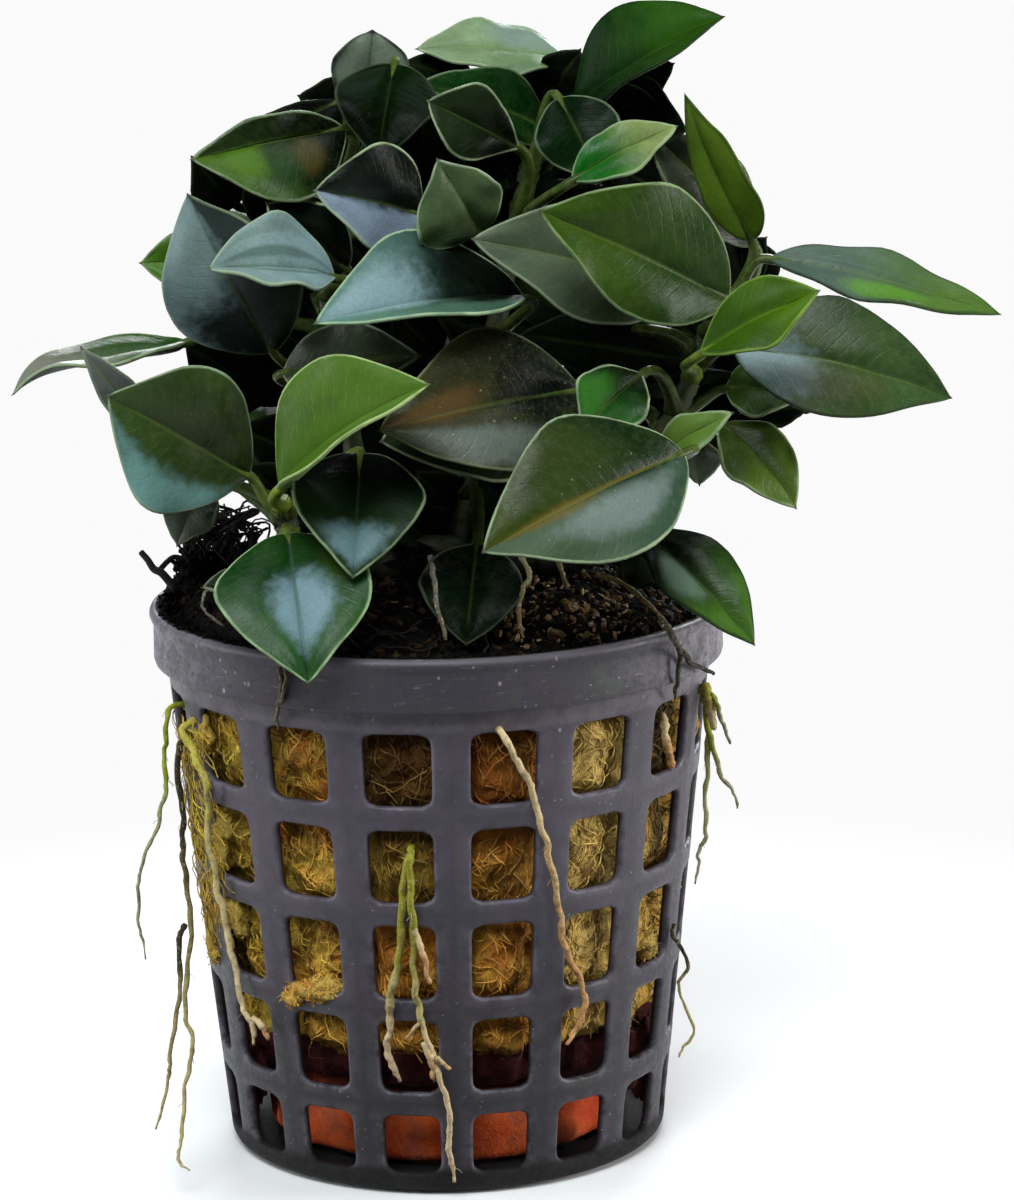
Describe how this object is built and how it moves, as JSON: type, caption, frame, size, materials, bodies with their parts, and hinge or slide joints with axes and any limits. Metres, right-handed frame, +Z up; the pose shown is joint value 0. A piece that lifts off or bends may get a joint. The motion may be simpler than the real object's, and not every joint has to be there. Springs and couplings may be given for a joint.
{
  "type": "potted aquarium plant",
  "caption": "Small bushy aquarium plant with thick pointed leaves on a creeping rhizome, rooted in rockwool in a round lattice net pot with trailing roots.",
  "frame": {"origin": "centre of the pot's underside, on the surface the pot stands on", "axes": "+Z up out of the pot; -Y towards the front, the side seen in the picture; +X to the right as seen from the front"},
  "size_m": [0.0905, 0.0613, 0.1068],
  "materials": {
    "pot_plastic": "satin",
    "fired_clay": "rough",
    "rockwool": "fibrous",
    "soil": "rough",
    "rhizome": "satin",
    "leaf_green": "glossy",
    "leaf_young": "glossy",
    "root": "satin"
  },
  "bodies": {
    "root": {"net_pot": "pot_plastic", "clay_weight": "fired_clay", "rockwool_plug": "rockwool", "soil": "soil", "rhizome": "rhizome", "stem_left": "rhizome", "stem_right": "rhizome", "stem_top": "rhizome", "stem_upper_left": "rhizome", "stem_back": "rhizome", "leaf_01": "leaf_green", "leaf_02": "leaf_green", "leaf_04": "leaf_green", "leaf_05": "leaf_green", "leaf_06": "leaf_young", "leaf_07": "leaf_green", "leaf_08": "leaf_green", "leaf_09": "leaf_green", "leaf_10": "leaf_green", "leaf_11": "leaf_green", "leaf_12": "leaf_green", "leaf_13": "leaf_green", "leaf_14": "leaf_young", "leaf_15": "leaf_green", "leaf_16": "leaf_green", "leaf_17": "leaf_young", "leaf_18": "leaf_green", "leaf_19": "leaf_green", "leaf_20": "leaf_young", "leaf_21": "leaf_green", "leaf_22": "leaf_green", "leaf_23": "leaf_green", "leaf_24": "leaf_green", "leaf_25": "leaf_green", "leaf_26": "leaf_green", "leaf_27": "leaf_green", "leaf_28": "leaf_green", "leaf_29": "leaf_young", "leaf_30": "leaf_green", "leaf_31": "leaf_green", "leaf_32": "leaf_green", "leaf_34": "leaf_green", "leaf_36": "leaf_green", "leaf_39": "leaf_green", "leaf_40": "leaf_green", "leaf_back_1": "leaf_green", "leaf_back_2": "leaf_green", "leaf_back_3": "leaf_green", "leaf_back_4": "leaf_green", "leaf_back_5": "leaf_green", "leaf_back_6": "leaf_young", "leaf_back_7": "leaf_green", "leaf_back_8": "leaf_green", "leaf_back_9": "leaf_green", "root_left_outer": "root", "root_left_long": "root", "root_left_thick": "root", "root_centre": "root", "root_right_pale": "root", "root_right_side": "root"}
  },
  "joints": []
}
